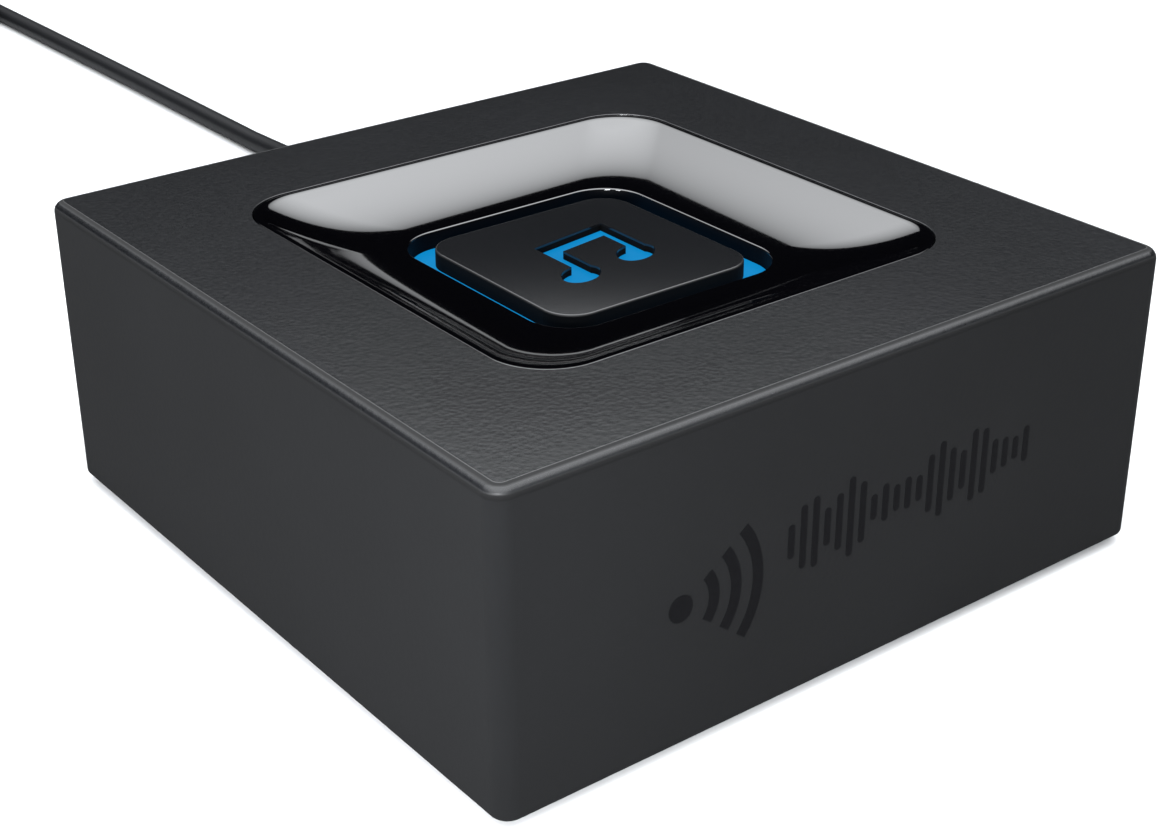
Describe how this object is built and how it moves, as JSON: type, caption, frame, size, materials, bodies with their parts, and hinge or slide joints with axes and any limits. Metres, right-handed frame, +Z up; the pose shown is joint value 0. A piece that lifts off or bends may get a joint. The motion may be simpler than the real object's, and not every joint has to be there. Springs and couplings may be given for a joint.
{
  "type": "wireless audio receiver",
  "caption": "Small square wireless audio receiver with a lit push button in a gloss dish, phono and 3.5 mm outputs at the rear and a tied low-voltage power lead.",
  "frame": {"origin": "on the supporting surface, under the middle of the square case (centre of the foot pad's face)", "axes": "+Z up; -Y is the plain front; +Y is the rear with the sockets and the lead; +X is to the right seen from the front"},
  "size_m": [0.0508, 0.1911, 0.0208],
  "materials": {
    "case_plastic": "fine spark-eroded texture",
    "gloss_black": "piano-black, mirror polished",
    "button_plastic": "satin",
    "blue_diffuser": "translucent, lit from below, emissive",
    "foot_rubber": "soft non-slip",
    "screw_steel": "zinc plated",
    "white_plastic": "moulded",
    "red_plastic": "moulded",
    "black_plastic": "moulded",
    "board_laminate": "green solder mask",
    "tinplate": "bright tin",
    "chip_resin": "moulded epoxy",
    "capacitor_can": "drawn can",
    "lamp": "clear resin",
    "nickel_plate": "nickel plated",
    "gold_contact": "flash gold",
    "plug_lining": "moulded",
    "lead_rubber": "matt flexible jacket",
    "tie_fabric": "woven hook-and-loop"
  },
  "bodies": {
    "case": {"top_housing": "case_plastic", "bottom_cover": "case_plastic", "bezel": "gloss_black", "foot_pad": "foot_rubber", "cover_screws": "screw_steel", "board_screws": "screw_steel", "light_reflector": "white_plastic", "rca_insulator_left": "white_plastic", "rca_insulator_right": "red_plastic", "switch_body": "black_plastic", "rca_housing": "black_plastic", "audio_jack_body": "black_plastic", "power_jack_body": "black_plastic", "main_board": "board_laminate", "radio_board": "board_laminate", "radio_shield": "tinplate", "clock_crystal": "tinplate", "audio_chip": "chip_resin", "power_inductor": "chip_resin", "capacitors": "capacitor_can", "status_leds": "lamp", "rca_shell_left": "nickel_plate", "rca_shell_right": "nickel_plate", "audio_jack_ferrule": "nickel_plate", "power_jack_pin": "nickel_plate", "rca_contact_left": "gold_contact", "rca_contact_right": "gold_contact", "audio_jack_contacts": "gold_contact"},
    "button": {"button_cap": "button_plastic", "light_guide": "blue_diffuser", "switch_plunger": "black_plastic"},
    "lead": {"plug_barrel": "nickel_plate", "plug_insulator": "plug_lining", "plug_grip": "lead_rubber", "power_lead": "lead_rubber", "lead_tail": "lead_rubber", "lead_coil": "lead_rubber", "lead_tie": "tie_fabric", "usb_grip": "lead_rubber", "usb_shell": "nickel_plate", "usb_insert": "white_plastic", "usb_contacts": "gold_contact"}
  },
  "joints": [
    {"name": "button_press", "type": "slide", "parent": "case", "child": "button", "axis": [0, 0, -1], "range_m": [0, 0.0004], "stiffness_N_per_m": 2500, "springref_m": -0.0001},
    {"name": "plug_pull", "type": "slide", "parent": "case", "child": "lead", "axis": [0, 1, 0], "range_m": [0, 0.012]}
  ]
}
